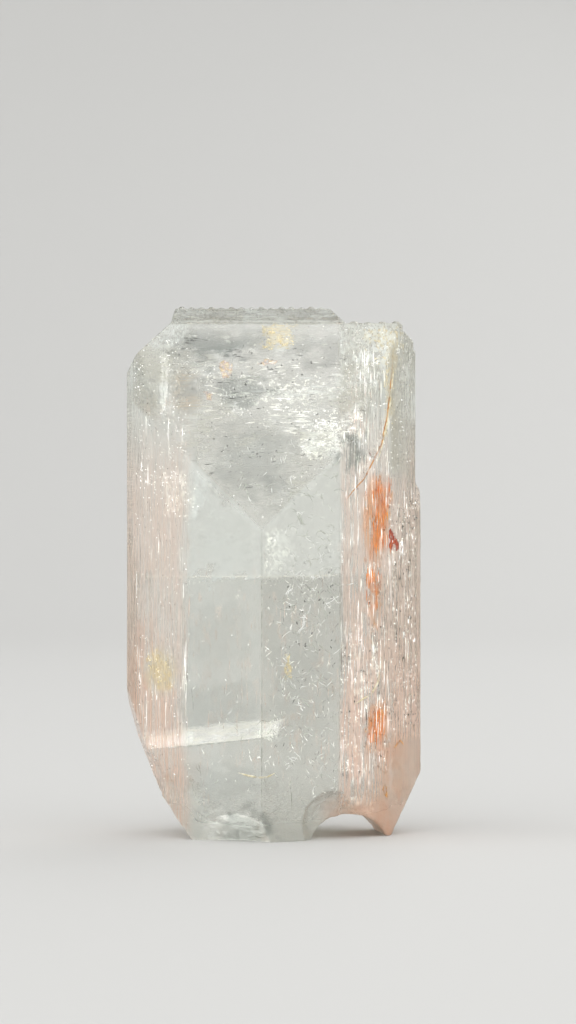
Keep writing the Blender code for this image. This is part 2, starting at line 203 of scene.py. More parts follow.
reliefLook = {
    "voxel": 0.19,           # millimetres between the points of the fine surface
    "grooveDepth": 0.14,
    "growthLineDepth": 0.06,
    "etchDepth": 0.07,
    "pitDepth": 0.13,
    "breakDepth": 0.26,
    "seamDepth": 0.28,
    "roundingPasses": 14,    # how far the upper left edge of the dome is rounded
}
topazLook = {
    "body": "#f7f6f2",
    "paintedShadeBody": "#646f69",   # painted shade: the clear stone's colour where it looks darkest
    "milk": "#eaeee8",
    "blue": "#d6e2e1",       # smooth left face
    "grey": "#c6c6ba",       # painted shade: below the line on the right, and low on the dome
    "pinkSides": "#edcfbd",
    "peachFoot": "#ecb391",
    "smoothTop": "#c4c1b2",  # smooth face at the upper right
    "stainWash": "#eeb68a",
    "shoulder": "#cdbfa9",   # beige patch at the dome's left end
    "clay": "#ded6b8",       # cream patch low on the left side
    "absorb": (0.71, 0.765, 0.66),   # what the stone lets through
    "absorbDensity": 17.0,
    "bending": 1.62,         # topaz's index of refraction
    "milkRoughness": 0.35,
    "milkClearness": 0.25,   # how much light a milky stretch still lets through
    "mostMilk": 0.92,
    "grooveFine": 0.055,     # depths of the finest relief in millimetres
    "levelFine": 0.03,
    "pitFine": 0.05,
    "skinFine": 0.006,
    "breakFine": 0.09,
    "grooveStretch": (4.6, 4.6, 0.24),   # how fine its patterns are, in cells a millimetre
    "levelStretch": (0.75, 0.75, 6.0),
    "pitStretch": (4.2, 4.2, 2.8),
    "skinStretch": (5.5, 5.5, 4.0),
    "breakStretch": (2.6, 2.6, 3.4),
}
tintSpots = {
    # colour in the look above: x, z, half width, half height and strength of each patch of it
    "peachFoot": [(-9.6, 11, 2.2, 6, 0.5), (-7.4, 5.4, 2.8, 1.8, 0.45)],
    "clay": [(-8.5, 12.4, 1.6, 2.2, 0.8)],
    "shoulder": [(-6.5, 33.4, 1.5, 2.1, 0.8)],
    "stainWash": [(7.6, 23.8, 1.2, 3.6, 1), (7.6, 18, 0.7, 2.6, 0.5), (7.7, 8.4, 0.9, 1.8, 0.7)],
}
milkSpots = [
    # x, z, half width, half height, how much whiter
    (-6.6, 25.6, 1.5, 2.2, 0.6), (0.4, 22, 1.2, 1.3, 0.16), (3.6, 29.8, 2.6, 1.7, 0.45),
    (1.4, 33.2, 3.6, 0.8, 0.38), (5.9, 33.6, 1.9, 2.6, 0.16),
    (8, 37.3, 2, 1.3, 0.4), (8.7, 33.4, 0.55, 3.4, 0.35), (-8.5, 12.4, 1.3, 1.9, 0.35),
    (-3.6, 21.2, 3, 1.7, 0.16), (6.1, 15.4, 0.7, 4.2, 0.32), (5.6, 8.6, 0.5, 3, 0.4),
    (-6.4, 30.6, 1.4, 1.1, 0.22), (0.3, 37.6, 1.4, 1, 0.36), (6.4, 21, 1.5, 4.6, 0.25),
    (-8.6, 21.6, 1.6, 4.2, 0.25), (9.6, 11, 1.2, 5, 0.2),
]
paintedShadeSpots = [
    # x, z, half width, half height, how much painted shade darkens the clear stone
    (-4.4, 37, 4.6, 1.8, 1), (-6.5, 33.4, 1.4, 2, 0.5), (-2.6, 33.4, 2.8, 1.3, 0.75),
    (-1.6, 28.4, 4, 3.4, 0.55), (3.2, 36.6, 2.6, 1.3, 0.5), (-4.4, 9.6, 4.2, 2.6, 0.36),
    (-4.4, 4.4, 5, 1.6, 0.3), (2, 11, 2.6, 5, 0.25), (-4.6, 15, 3.2, 3.4, 0.2),
    (5.8, 28.9, 1.1, 2.6, 0.85), (-9.2, 33.6, 1.3, 1.6, 0.35),
    (-2.2, 0.9, 2.6, 1.7, 0.75), (0.6, 25.6, 2.6, 1.8, 0.35),
]
clearSpots = [
    # x, z, half width, half height, how much clearer
    (-4.4, 37.2, 3.2, 1.2, 0.85), (-3.4, 30.2, 2.4, 1.3, 0.75), (3, 36.2, 2.2, 0.9, 0.7),
    (-1.6, 26.6, 3.4, 2, 0.7), (6.1, 29.4, 1.1, 2.6, 0.8), (2.2, 17.2, 2.6, 1.8, 0.5),
    (7.8, 24.2, 0.8, 3.6, 0.6), (7.6, 8.4, 0.8, 1.6, 0.6), (7.4, 18.6, 0.8, 1.6, 0.6),
    (-7, 35.6, 1.2, 1.6, 0.6), (-4.2, 12, 1.8, 5.5, 0.5), (-2.2, 0.9, 2.6, 1.7, 0.9),
]


def spotMask(x, z, cx, cz, rx, rz, amount):
    # the amount in the middle of an ellipse, fading to 0 at its rim
    across = (x - cx) * (1 / rx)
    up = (z - cz) * (1 / rz)
    return (across * across + up * up).rise(1.15, 0.1) * amount


def spotSum(x, z, spots):
    total = spotMask(x, z, *spots[0])
    for spot in spots[1:]:
        total = total + spotMask(x, z, *spot)
    return total


def coarseHeight(spot, masks, depths):
    # the height of the surface in millimetres
    grooves = spot.noise((1.5, 1.5, 0.07), 2.0, 0.6) - 0.5
    patchy = spot.noise((0.5, 0.5, 0.16), 1.0).rise(0.3, 0.62)
    grooved = (masks["grooved"] * patchy * 0.85 + 0.05) * (1 - masks["dome"] * 0.8)
    height = grooves * depths["grooveDepth"] * grooved
    level = spot.noise((0.22, 0.22, 1.9), 2.0, 0.6) - 0.5
    height = height + level * depths["growthLineDepth"] * (masks["dome"] * 0.9 + 0.05)
    lumpy = spot.noise((1.1, 1.1, 0.7), 3.0, 0.6) - 0.5
    height = height + lumpy * depths["etchDepth"] * masks["etched"].most(masks["crest"] * 1.4)
    pits = spot.cells((1.5, 1.5, 1.0)).rise(0.34, 0.1)
    height = height - pits * depths["pitDepth"] * masks["etched"] * patchy
    shell = spot.noise((0.6, 0.6, 1.1), 3.0, 0.55, 1.4) - 0.5
    height = height + (lumpy - 0.1) * depths["seamDepth"] * masks["seam"]
    return height + shell * depths["breakDepth"] * masks["low"]


def surfaceTint(x, z, masks, cloud):
    look = {name: linearColour(value) for name, value in topazLook.items() if isinstance(value, str)}

    def withSpots(tint, name):
        cover = spotMask(x, z, *tintSpots[name][0])
        for spot in tintSpots[name][1:]:
            cover = cover.most(spotMask(x, z, *spot))
        return (cover * masks["front"]).blend(tint, look[name])

    below = z.rise(region["line"] + 0.1, region["line"] - 0.1)
    bluish = x.rise(region["frontEdge"] + 0.1, region["frontEdge"] - 0.1) * below.rise(-0.6, 1.0)
    tint = (bluish * 0.7).blend(look["milk"], look["blue"])
    # painted shade: grey below the line on the right
    greyish = below * x.rise(region["frontEdge"] - 0.1, region["frontEdge"] + 0.1) * 0.75
    tint = greyish.blend(tint, look["grey"])
    # painted shade: grey in cloudy patches on the dome
    tint = (masks["dome"] * cloud.rise(0.42, 0.6)).blend(tint, look["grey"])
    pinkish = masks["sides"] * z.rise(34.0, 24.0) * (z.rise(18.0, 9.0) * 0.35 + 0.65)
    tint = pinkish.blend(tint, look["pinkSides"])
    for name in ("peachFoot", "clay", "shoulder"):
        tint = withSpots(tint, name)
    tint = masks["smooth"].blend(tint, look["smoothTop"])
    tint = masks["foot"].blend(tint, look["peachFoot"])
    return withSpots(tint, "stainWash")


def surfaceHaze(spot, x, z, masks, cloud):
    # how milky the stone is just under its surface, and how much painted shade darkens it, from 0 to 1
    x = x + (spot.noise((0.7, 0.7, 0.5), 3.0, 0.65) - 0.5) * 5.5
    z = z + (spot.noise((0.5, 0.5, 0.8), 3.0, 0.65) - 0.5) * 5.5
    # painted light: the front faces above the line are made milkier and so lighter, for light that
    # comes through the back dome
    above = z.rise(region["line"] - 0.1, region["line"] + 0.1) * (1 - masks["dome"]) * masks["front"]
    haze = cloud.rise(0.35, 0.75) * 0.12 + 0.12 + above * 0.4
    haze = haze + masks["sides"] * 0.38 + masks["etched"] * 0.18
    haze = haze + masks["dome"] * masks["front"] * cloud.rise(0.42, 0.6) * 0.3
    haze = haze + masks["crest"] * 0.16 + masks["foot"] * 0.4 + masks["smooth"] * 0.22
    haze = haze + z.rise(4.6, 0.8) * 0.12
    haze = haze + spotSum(x, z, milkSpots) * masks["front"]
    haze = haze * (1 - spotSum(x, z, clearSpots).least(0.9) * masks["front"])
    # painted shade: the clear stone darkened in listed spots and on the crest
    paintedShade = (spotSum(x, z, paintedShadeSpots) * masks["front"]).most(masks["crest"] * 0.45).least(1.0)
    return haze.most(0.03).least(0.9), paintedShade


def reliefTree():
    tree, given = nodesTree("crystalRelief", [name for name in reliefLook if name != "voxel"])
    spot, x, y, z = placeIn(tree)
    corner = x.rise(-4.4, -6.0) * x.rise(-10.6, -9.8) * z.rise(25.4, 28.0) * z.rise(36.6, 35.4)
    rise = z + (x - region["frontEdge"]) * region["domeSlope"]
    boundary = rise.within(region["domeLow"] - 0.5, region["domeLow"] + 0.5, 0.3) * x.rise(-1.0, -2.4)
    corner = corner.most(boundary) * y.rise(-0.8, -2.0)
    here = Wire.node(tree, "GeometryNodeInputPosition")
    softened = {0: here, 1: given["roundingPasses"], 2: corner}
    softened = Wire.node(tree, "GeometryNodeBlurAttribute", {"data_type": "FLOAT_VECTOR"}, softened)
    rounded = Wire.node(tree, "GeometryNodeSetPosition", None, {0: given["Geometry"], 2: softened})
    masks = regionMasks(spot, x, y, z)
    height = coarseHeight(spot, masks, given)
    outward = Wire.node(tree, "GeometryNodeInputNormal").scaled(height * mm)
    moved = Wire.node(tree, "GeometryNodeSetPosition", None, {0: rounded, 3: outward})
    cloud = spot.noise((0.28, 0.28, 0.3), 3.0, 0.55, 0.4)
    haze, paintedShade = surfaceHaze(spot, x, z, masks, cloud)
    rough = masks["sides"] * 0.10 + masks["etched"] * 0.12 + masks["crest"] * 0.22 + cloud * 0.05 + 0.02
    rough = rough + corner * 0.25 + z.rise(4.6, 0.8) * 0.24
    finish = Wire.node(tree, "ShaderNodeCombineXYZ", None, {0: haze, 1: rough, 2: masks["grooved"]})
    # the third value carries the painted shade
    zones = {0: masks["dome"], 1: masks["etched"].most(masks["crest"]), 2: paintedShade}
    zones = Wire.node(tree, "ShaderNodeCombineXYZ", None, zones)
    stored = storeOn(tree, moved, "tint", surfaceTint(x, z, masks, cloud), "FLOAT_COLOR")
    stored = storeOn(tree, stored, "finish", finish)
    stored = storeOn(tree, stored, "zones", zones)
    closeGeometryTree(tree, stored, given["Material"])
    return tree


def storeOn(tree, geometry, name, value, kind="FLOAT_VECTOR"):
    settings = {"data_type": kind, "domain": "POINT"}
    values = {0: geometry, 2: name, 3: value}
    return Wire.node(tree, "GeometryNodeStoreNamedAttribute", settings, values)


def nodesTree(name, inputs):
    # a Geometry Nodes tree, and a wire for each of its named inputs
    tree = bpy.data.node_groups.new(name, "GeometryNodeTree")
    tree.is_modifier = True
    kinds = {"Geometry": "Geometry", "Material": "Material", "seed": "Int", "roundingPasses": "Int"}
    titles = ["Geometry", *inputs, "Material"]
    for title in titles:
        kind = "NodeSocket" + kinds.get(title, "Float")
        tree.interface.new_socket(title, in_out="INPUT", socket_type=kind)
    tree.interface.new_socket("Geometry", in_out="OUTPUT", socket_type="NodeSocketGeometry")
    given = tree.nodes.new("NodeGroupInput")
    return tree, {title: Wire(given.outputs[i]) for i, title in enumerate(titles)}


def closeGeometryTree(tree, geometry, material):
    real = Wire.node(tree, "GeometryNodeRealizeInstances", None, {"Geometry": geometry})
    done = Wire.node(tree, "GeometryNodeSetMaterial", None, {"Geometry": real, "Material": material})
    end = tree.nodes.new("NodeGroupOutput")
    tree.links.new(done.socket, end.inputs[0])


def addNodesModifier(piece, tree, values):
    modifier = piece.modifiers.new(tree.name, "NODES")
    modifier.node_group = tree
    sockets = {s.name: s.identifier for s in tree.interface.items_tree if s.in_out == "INPUT"}
    for name, value in values.items():
        modifier[sockets[name]] = value


def settle(piece):
    # turns what the modifiers make into a plain mesh
    graph = bpy.context.evaluated_depsgraph_get()
    graph.update()
    mesh = bpy.data.meshes.new_from_object(piece.evaluated_get(graph), depsgraph=graph)
    piece.modifiers.clear()
    piece.data = mesh
    return piece


def finishPiece(piece):
    settle(piece)
    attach(piece, "root")
    print(piece.name + ":", len(piece.data.polygons), "faces")


def addObject(name, mesh):
    piece = bpy.data.objects.new(name, mesh)
    bpy.context.scene.collection.objects.link(piece)
    return piece


def carryOver(node, name):
    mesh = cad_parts[node].data.copy()
    bm = bmesh.new()
    bm.from_mesh(mesh)
    bmesh.ops.remove_doubles(bm, verts=bm.verts, dist=1e-7)
    bm.to_mesh(mesh)
    bm.free()
    mesh.materials.clear()
    return addObject(name, mesh)


def readFrom(tree, name, output):
    return Wire.node(tree, "ShaderNodeAttribute", {"attribute_name": name}, None, output)


def parts(wire):
    return [wire.beside("ShaderNodeSeparateXYZ", None, {0: wire}, i) for i in range(3)]


def topazMaterial():
    look = topazLook
    material, tree = newMaterial("clear topaz with grooved and milky sides")
    spot, x, y, z = placeIn(tree)
    haze, rough, sides = parts(readFrom(tree, "finish", 1))
    dome, etched, paintedShade = parts(readFrom(tree, "zones", 1))
    grooves = spot.noise(look["grooveStretch"], 3.0, 0.65)
    levels = spot.noise(look["levelStretch"], 3.0, 0.65)
    pits = spot.cells(look["pitStretch"]).rise(0.4, 0.08)
    skin = spot.noise(look["skinStretch"], 2.0, 0.6)
    height = grooves * look["grooveFine"] * sides + levels * look["levelFine"] * dome
    height = height + skin * look["skinFine"] - pits * look["pitFine"] * etched
    splinters = spot.noise(look["breakStretch"], 3.0, 0.65, 0.8)
    height = height + splinters * look["breakFine"] * z.rise(5.5, 2.5)
    normal = {"Height": height, "Distance": mm, "Strength": 1.0}
    normal = Wire.node(tree, "ShaderNodeBump", None, normal)
    plain = (1 - sides) * (1 - dome)
    patchy = spot.noise((0.3, 0.3, 0.55), 2.0).rise(0.42, 0.6) * 0.75 + 0.25
    streaks = grooves.rise(0.4, 0.6) * sides * 1.5
    streaks = streaks + levels.rise(0.4, 0.6) * patchy * dome * (1 - sides) * 1.6
    milk = haze * (streaks + plain * 0.75 + 0.2)
    # the clear stone's colour is darkened by painted shade where the zones attribute says
    clear = shader(tree, {
        "Base Color": paintedShade.blend(linearColour(look["body"]), linearColour(look["paintedShadeBody"])),
        "Roughness": rough, "IOR": look["bending"],
        "Transmission Weight": 1.0, "Normal": normal,
    })
    milky = shader(tree, {
        "Base Color": readFrom(tree, "tint", 0), "Roughness": look["milkRoughness"],
        "IOR": look["bending"], "Transmission Weight": look["milkClearness"], "Normal": normal,
    })
    surface = {0: milk.least(look["mostMilk"]), 1: clear, 2: milky}
    surface = Wire.node(tree, "ShaderNodeMixShader", None, surface)
    absorb = {"Color": (*look["absorb"], 1), "Density": look["absorbDensity"]}
    closeMaterial(tree, surface, Wire.node(tree, "ShaderNodeVolumeAbsorption", None, absorb))
    return material


def buildCrystal():
    look = reliefLook
    crystal = carryOver("topaz_crystal", "topaz_crystal_surface")
    form = carryOver("topaz_crystal", "exact_form")
    grid = crystal.modifiers.new("fine surface", "REMESH")
    grid.mode = "VOXEL"
    grid.voxel_size = look["voxel"] * mm
    grid.use_smooth_shade = True
    fit = crystal.modifiers.new("onto the flat faces", "SHRINKWRAP")
    fit.target = form
    values = {name: value for name, value in look.items() if name != "voxel"}
    addNodesModifier(crystal, reliefTree(), values | {"Material": topazMaterial()})
    settle(crystal)
    bpy.data.objects.remove(form)
    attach(crystal, "root")
    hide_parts("topaz_crystal")
    print("crystal surface:", len(crystal.data.polygons), "faces")
    return crystal


class Skin:
    # where the crystal's front and back are, in millimetres
    def __init__(self, crystal):
        bm = bmesh.new()
        bm.from_mesh(crystal.data)
        self.tree = BVHTree.FromBMesh(bm)
        bm.free()

    def ray(self, x, z, start, way):
        point = self.tree.ray_cast(Vector((x * mm, start, z * mm)), Vector((0, way, 0)))[0]
        return point.y / mm if point else None

    def front(self, x, z):
        return self.ray(x, z, -0.05, 1)

    def back(self, x, z):
        return self.ray(x, z, 0.05, -1)


# films, cracks and stains under the surface

patchLook = {
    "step": 0.12,            # millimetres between the points of a film
    "thickness": 0.03,
    "raggedness": 1.6,       # how fine the ragged edge is
    "largeFilm": 400,        # a film of more cells thins out towards its edge
    "edgeCover": (0.2, 0.5, 0.8),
}
crackLook = {
    "columnWidth": 0.2,      # millimetres between the points along the crack's front edge
    "rowsPerRise": 14,
    "leastRows": 5,
    "start": 0.1,            # how far behind the front surface it starts
    "reach": 0.97,           # how much of its reach is used
}
filmLooks = {
    # colours, then the pattern's stretch, its cover from and to, where it starts, roughness, glow
    "ironStain": (("#fdc466", "#f6ab50", "#d6904e"),
        (6.5, 6.5, 0.34), (0.0, 0.95), (0.46, 0.56), 0.5, 0.2),
    "paleStain": (("#f6c48c", "#f0b274", "#fbe4cc"),
        (5.0, 5.0, 0.26), (0.0, 0.8), (0.42, 0.58), 0.5, 0.2),
    "redStain": (("#b54a2e", "#9c3c28", "#cf7044"),
        (3.2, 3.2, 1.4), (0.4, 1.0), (0.36, 0.54), 0.45, 0.1),
    "whiteFeather": (("#ffffff", "#f4f6f0", "#e8ebe2"),
        (3.4, 3.4, 2.4), (0.0, 0.9), (0.46, 0.62), 0.35, 0.42),
    "whiteBand": (("#ffffff", "#f8f8f2", "#e9eae4"),
        (0.8, 0.8, 2.4), (0.4, 0.92), (0.3, 0.6), 0.35, 0.36),
    "yellowPatch": (("#f6efda", "#efe3c0", "#cfc3a0"),
        (3.4, 3.4, 2.6), (0.0, 0.95), (0.4, 0.56), 0.4, 0.28),
    "pinkGlint": (("#f0bcae", "#efdcae", "#ffffff"),
        (3.6, 3.6, 3.0), (0.0, 0.8), (0.4, 0.58), 0.3, 0.3),
    "greyLine": (("#5d635d", "#757b74", "#454a45"),
        (0.9, 0.9, 5.0), (0.0, 0.7), (0.38, 0.6), 0.4, 0.0),
    # painted highlight: a pale line along the back edge, which shows through the stone
    "paintedEdgeLine": (("#f4f3ea", "#e6e4d8", "#ffffff"),
        (0.9, 0.9, 3.0), (0.15, 0.85), (0.36, 0.6), 0.35, 0.36),
}
patches = {
    # piece: film look, then for each film its depth under the surface, raggedness and outline
    "iron_stain": ("ironStain", [
        (0.03, 0.5, [(8.32, 26.9), (8.77, 26.6), (8.92, 25.25), (8.77, 23.7), (8.55, 22.4),
            (8.1, 21.5), (7.5, 21.3), (7.34, 22.2), (7.56, 23.6), (7.7, 24.9), (7.87, 26)]),
        (0.03, 0.4, [(6.73, 19.7), (7.94, 19.9), (8.05, 18.5), (7.9, 17), (7.6, 17), (7.5, 18.3),
            (6.88, 18.6)]),
        (0.03, 0.5, [(7.2, 9.45), (8.24, 9.5), (8.4, 8.5), (8, 7.6), (7.56, 7), (7.1, 7.1),
            (6.96, 8.3)]),
    ]),
    "pale_stain": ("paleStain", [
        (0.35, 0.6, [(7.9, 27.4), (8.4, 26.8), (8.5, 25), (8, 22.7), (7.9, 20.6), (7.7, 16),
            (7.2, 14.6), (6.9, 16.6), (6.7, 20), (6.5, 22.4), (6.6, 24.6), (6.4, 25.9), (7.1, 26.9)]),
        (0.3, 0.6, [(6.9, 10.2), (8.4, 10.4), (8.7, 8.6), (8.3, 6.6), (7.3, 6), (6.6, 7.4)]),
    ]),
    "deep_red_stain": ("redStain", [
        (0.02, 0.12, [(8.7, 23.3), (9.2, 22.7), (9.5, 21.8), (9.3, 21.3), (8.85, 21.4), (8.55, 22)]),
    ]),
    "white_feathers": ("whiteFeather", [
        (0.3, 0.9, [(-8, 27.1), (-6.95, 27.4), (-5.9, 26.6), (-5.7, 25.2), (-6.2, 24), (-7.2, 24.2),
            (-8.2, 25.2)]),
        (0.4, 0.3, [(-0.7, 22.9), (0.2, 23.2), (1.2, 22.9), (1.5, 21.6), (0.8, 20.7), (0.5, 19.9),
            (-0.7, 19.8)]),
        (0.5, 1, [(2, 29.8), (3.6, 30.8), (5.4, 31.3), (6.3, 30.8), (5.75, 29.6), (4.7, 28.6),
            (3.2, 28.1), (2.3, 28.6)]),
        (0.4, 0.9, [(-2, 33.2), (0.5, 33.7), (4.2, 33.6), (5.2, 33.1), (3.9, 32.5), (1.2, 32.2),
            (-1.4, 32.2)]),
        (0.04, 0.5, [(6.2, 10.3), (7.4, 10.9), (8.1, 12.4), (8.3, 14.2), (7.6, 14.6), (7, 13),
            (6.2, 12), (5.9, 11)]),
        (0.05, 0.4, [(5.6, 2.9), (6.6, 3.3), (7.6, 2.6), (8.2, 1.7), (7.4, 1.5), (6.4, 2.2)]),
        (0.06, 0.4, [(-1.28, 8.5), (-0.9, 8.9), (-0.45, 8.8), (0.1, 9.4), (0.4, 9.5), (0.2, 8.5),
            (0.4, 7.6), (0, 7.3), (-0.6, 7.6), (-1.2, 7.5)]),
    ]),
    "white_glints": ("whiteFeather", [
        (0.02, 0.05, [(9.22, 24.2), (9.35, 24.85), (9.54, 24.9), (9.45, 24.3)]),
        (0.02, 0.05, [(9.65, 26), (9.85, 25.9), (10.1, 25.2), (9.95, 25), (9.8, 25.4)]),
        (0.02, 0.05, [(9.4, 21.15), (9.6, 21.45), (9.9, 21.3), (9.7, 21)]),
        (0.02, 0.1, [(10.05, 19.6), (10.3, 20), (10.5, 19.7), (10.3, 19.2)]),
        (0.02, 0.05, [(4.97, 22.8), (5.2, 22.8), (5.25, 20.5), (5.05, 20.5)]),
        (0.02, 0.05, [(6.55, 18.8), (6.72, 18.8), (6.78, 17.1), (6.58, 17.1)]),
        (0.02, 0.1, [(9.5, 15.2), (9.8, 15.4), (9.9, 14.9), (9.7, 14.6)]),
    ]),
    "pale_stripe": ("whiteBand", [
        (0.1, 0.1, [(-8.54, 36.4), (-8, 36.4), (-7.9, 34.3), (-8.05, 31.9), (-8.46, 31.8),
            (-8.6, 34.3)]),
        (0.05, 0.15, [(-9.35, 6.75), (-9.3, 7.5), (-8, 7.75), (-6.4, 8.05), (-5.9, 8.1), (-5.9, 7.1),
            (-7.8, 6.8)]),
    ]),
    "clay_patches": ("yellowPatch", [
        (0.1, 0.6, [(-0.9, 38.3), (-0.15, 38.5), (1.36, 38.4), (1.5, 37.6), (1.06, 36.8), (0.15, 37),
            (-0.6, 36.3), (-0.98, 37.2)]),
        (0.3, 0.8, [(6.7, 38), (8, 38.2), (9.4, 37.9), (9.8, 37.2), (9.5, 36.4), (8.9, 35.4),
            (8.5, 36.1), (7.6, 37), (6.8, 37.2)]),
        (0.05, 0.35, [(8.3, 36.4), (8.9, 36.9), (9.2, 35.8), (9, 33.4), (8.8, 31.3), (8.5, 29.9),
            (8.2, 30.1), (8.4, 32), (8.2, 34.3)]),
        (0.08, 0.8, [(-9.4, 13.5), (-8.8, 14), (-8, 13.5), (-7.7, 12.4), (-7.25, 11.6), (-7.9, 10.8),
            (-8.6, 11.2), (-9.1, 11.9)]),
        (0.04, 0.2, [(0.76, 12.1), (0.9, 13), (1.06, 13.9), (1.3, 14), (1.36, 13), (1.2, 12.2),
            (1, 11.9)]),
    ]),
    "pink_glints": ("pinkGlint", [
        (0.5, 0.2, [(-4.15, 35.6), (-3.6, 35.8), (-3.1, 35.4), (-3.25, 34.3), (-3.8, 34.2),
            (-4.1, 34.8)]),
        (0.5, 0.3, [(-1.3, 35.4), (-0.6, 35.8), (0.4, 35.8), (0.15, 35.2), (-0.9, 35.1)]),
        (0.5, 0.3, [(-5.36, 33.4), (-4.9, 33.6), (-4.5, 33.1), (-4.7, 32.4), (-5.2, 32.6)]),
    ]),
    "grey_streaks": ("greyLine", [
        (0.3, 0.1, [(-6.4, 8), (-6.28, 8), (-6.1, 7), (-6.25, 7)]),
    ]),
}
cracks = {
    # piece: film look, then for each crack its rise and the x, z and reach along its front edge
    "low_cleavage_crack": ("whiteBand", [
        (1.25, [(-9.4, 6.5, 3.6), (-7.8, 6.75, 4.6), (-6.35, 6.95, 5), (-3, 7.4, 4.7),
            (-0.87, 7.7, 4.9), (0.4, 7.9, 3.9)]),
    ]),
    # painted highlight: a pale sheet at the height where the back dome meets the upright back, standing
    # for that edge seen through the stone as a light line
    "painted_back_edge_line": ("paintedEdgeLine", [
        (0.1, [(-9.9, 19.45, 1.2), (-4, 19.5, 1.6), (1, 19.55, 1.8), (4.8, 19.6, 1.4)]),
    ]),
}


def glowing(tree, colour, rough, cover, glow):
    # glow stands for the light that the stone's faces send into what lies inside it
    values = {"Base Color": colour, "Roughness": rough, "Alpha": cover}
    if glow:
        values |= {"Emission Color": colour, "Emission Strength": glow}
    return shader(tree, values)


def filmMaterial(name):
    colours, stretch, (least, most), (start, full), rough, glow = filmLooks[name]
    first, second, third = (linearColour(text) for text in colours)
    material, tree = newMaterial(name)
    spot, x, y, z = placeIn(tree)
    broad = spot.noise(stretch, 3.0, 0.6)
    fine = spot.noise(tuple(v * 3.1 for v in stretch), 2.0, 0.6)
    colour = broad.rise(0.4, 0.62).blend(first, second)
    colour = fine.rise(0.54, 0.68).blend(colour, third)
    cover = (broad * 0.6 + fine * 0.4).rise(start, full) * (most - least) + least
    closeMaterial(tree, glowing(tree, colour, rough, cover * readFrom(tree, "fade", 2), glow))
    return material


def insideOutline(outline, x, z):
    odd = False
    for (ax, az), (bx, bz) in zip(outline, outline[1:] + outline[:1]):
        if (az > z) != (bz > z) and x < ax + (z - az) / (bz - az) * (bx - ax):
            odd = not odd
    return odd


def patchCells(outline, ragged, seed):
    # the grid cells inside the outline, its edge made ragged; cells never touch by a corner alone
    step = patchLook["step"]
    low = [min(p[i] for p in outline) - ragged for i in range(2)]
    counts = [int((max(p[i] for p in outline) + ragged - low[i]) / step) + 1 for i in range(2)]
    cells = set()
    for i in range(counts[0]):
        for j in range(counts[1]):
            x, z = low[0] + i * step, low[1] + j * step
            at = Vector((x * patchLook["raggedness"], z * patchLook["raggedness"], seed))
            shift = noise.noise_vector(at) * ragged
            if insideOutline(outline, x + shift.x, z + shift.y):
                cells.add((i, j))
    for i in range(counts[0]):
        for j in range(counts[1]):
            square = [(i, j), (i + 1, j), (i, j + 1), (i + 1, j + 1)]
            held = [c in cells for c in square]
            if held in ([True, False, False, True], [False, True, True, False]):
                cells.update(square)
    return cells, low


def addPatch(bm, skin, depth, ragged, outline, seed):
    step = patchLook["step"]
    cells, low = patchCells(outline, ragged, seed)
    corners = {}
    faces = []
    for i, j in sorted(cells):
        ring = []
        for a, b in ((i, j), (i + 1, j), (i + 1, j + 1), (i, j + 1)):
            if (a, b) not in corners:
                corners[a, b] = bm.verts.new((low[0] + (a - 0.5) * step, 0, low[1] + (b - 0.5) * step))
            ring.append(corners[a, b])
        faces.append(bm.faces.new(ring))
    verts = list(corners.values())
    fade = bm.verts.layers.float["fade"]
    for vert in verts:
        vert[fade] = 1.0
    large = len(cells) > patchLook["largeFilm"]
    ring = [vert for vert in verts if large and len(vert.link_faces) < 4]
    reached = set(ring)
    for share in patchLook["edgeCover"]:
        for vert in ring:
            vert[fade] = share
        ring = [e.other_vert(v) for v in ring for e in v.link_edges if e.other_vert(v) not in reached]
        reached.update(ring)
    for _ in range(2):
        bmesh.ops.smooth_vert(bm, verts=verts, factor=0.5, use_axis_x=True, use_axis_z=True)
    missed = []
    for vert in verts:
        front = skin.front(vert.co.x, vert.co.z)
        if front is None:
            missed.append(vert)
            continue
        wobble = noise.noise(Vector((vert.co.x, vert.co.z, seed + 5))) * depth * 0.5
        vert.co = Vector((vert.co.x, front + depth + wobble, vert.co.z)) * mm
    bmesh.ops.delete(bm, geom=missed, context="VERTS")


def addCrack(bm, skin, rise, edge, seed):
    # a sheet that starts just behind the front surface and climbs a little as it goes in
    look = crackLook
    fade = bm.verts.layers.float["fade"]
    columns = int((edge[-1][0] - edge[0][0]) / look["columnWidth"])
    rows = max(look["leastRows"], int(rise * look["rowsPerRise"]))
    grid = []
    for i in range(columns + 1):
        x = edge[0][0] + (edge[-1][0] - edge[0][0]) * i / columns
        k = max(n for n in range(len(edge) - 1) if edge[n][0] <= x + 1e-6)
        share = (x - edge[k][0]) / (edge[k + 1][0] - edge[k][0])
        z, reach = (edge[k][n] * (1 - share) + edge[k + 1][n] * share for n in (1, 2))
        front = skin.front(x, z + 0.5)
        column = []
        for j in range(rows + 1):
            inward = look["start"] + (reach * look["reach"] - look["start"]) * j / rows
            vert = bm.verts.new(Vector((x, front + inward, z + rise * inward / reach)) * mm)
            ragged = noise.noise(Vector((x * 1.3, inward, seed))) * 0.5
            vert[fade] = max(0.0, min(1.0, (1 - j / rows) * 6 + ragged, (columns - i) / 3 + ragged))
            column.append(vert)
        grid.append(column)
    for first, second in zip(grid, grid[1:]):
        for j in range(rows):
            bm.faces.new((first[j], second[j], second[j + 1], first[j + 1]))


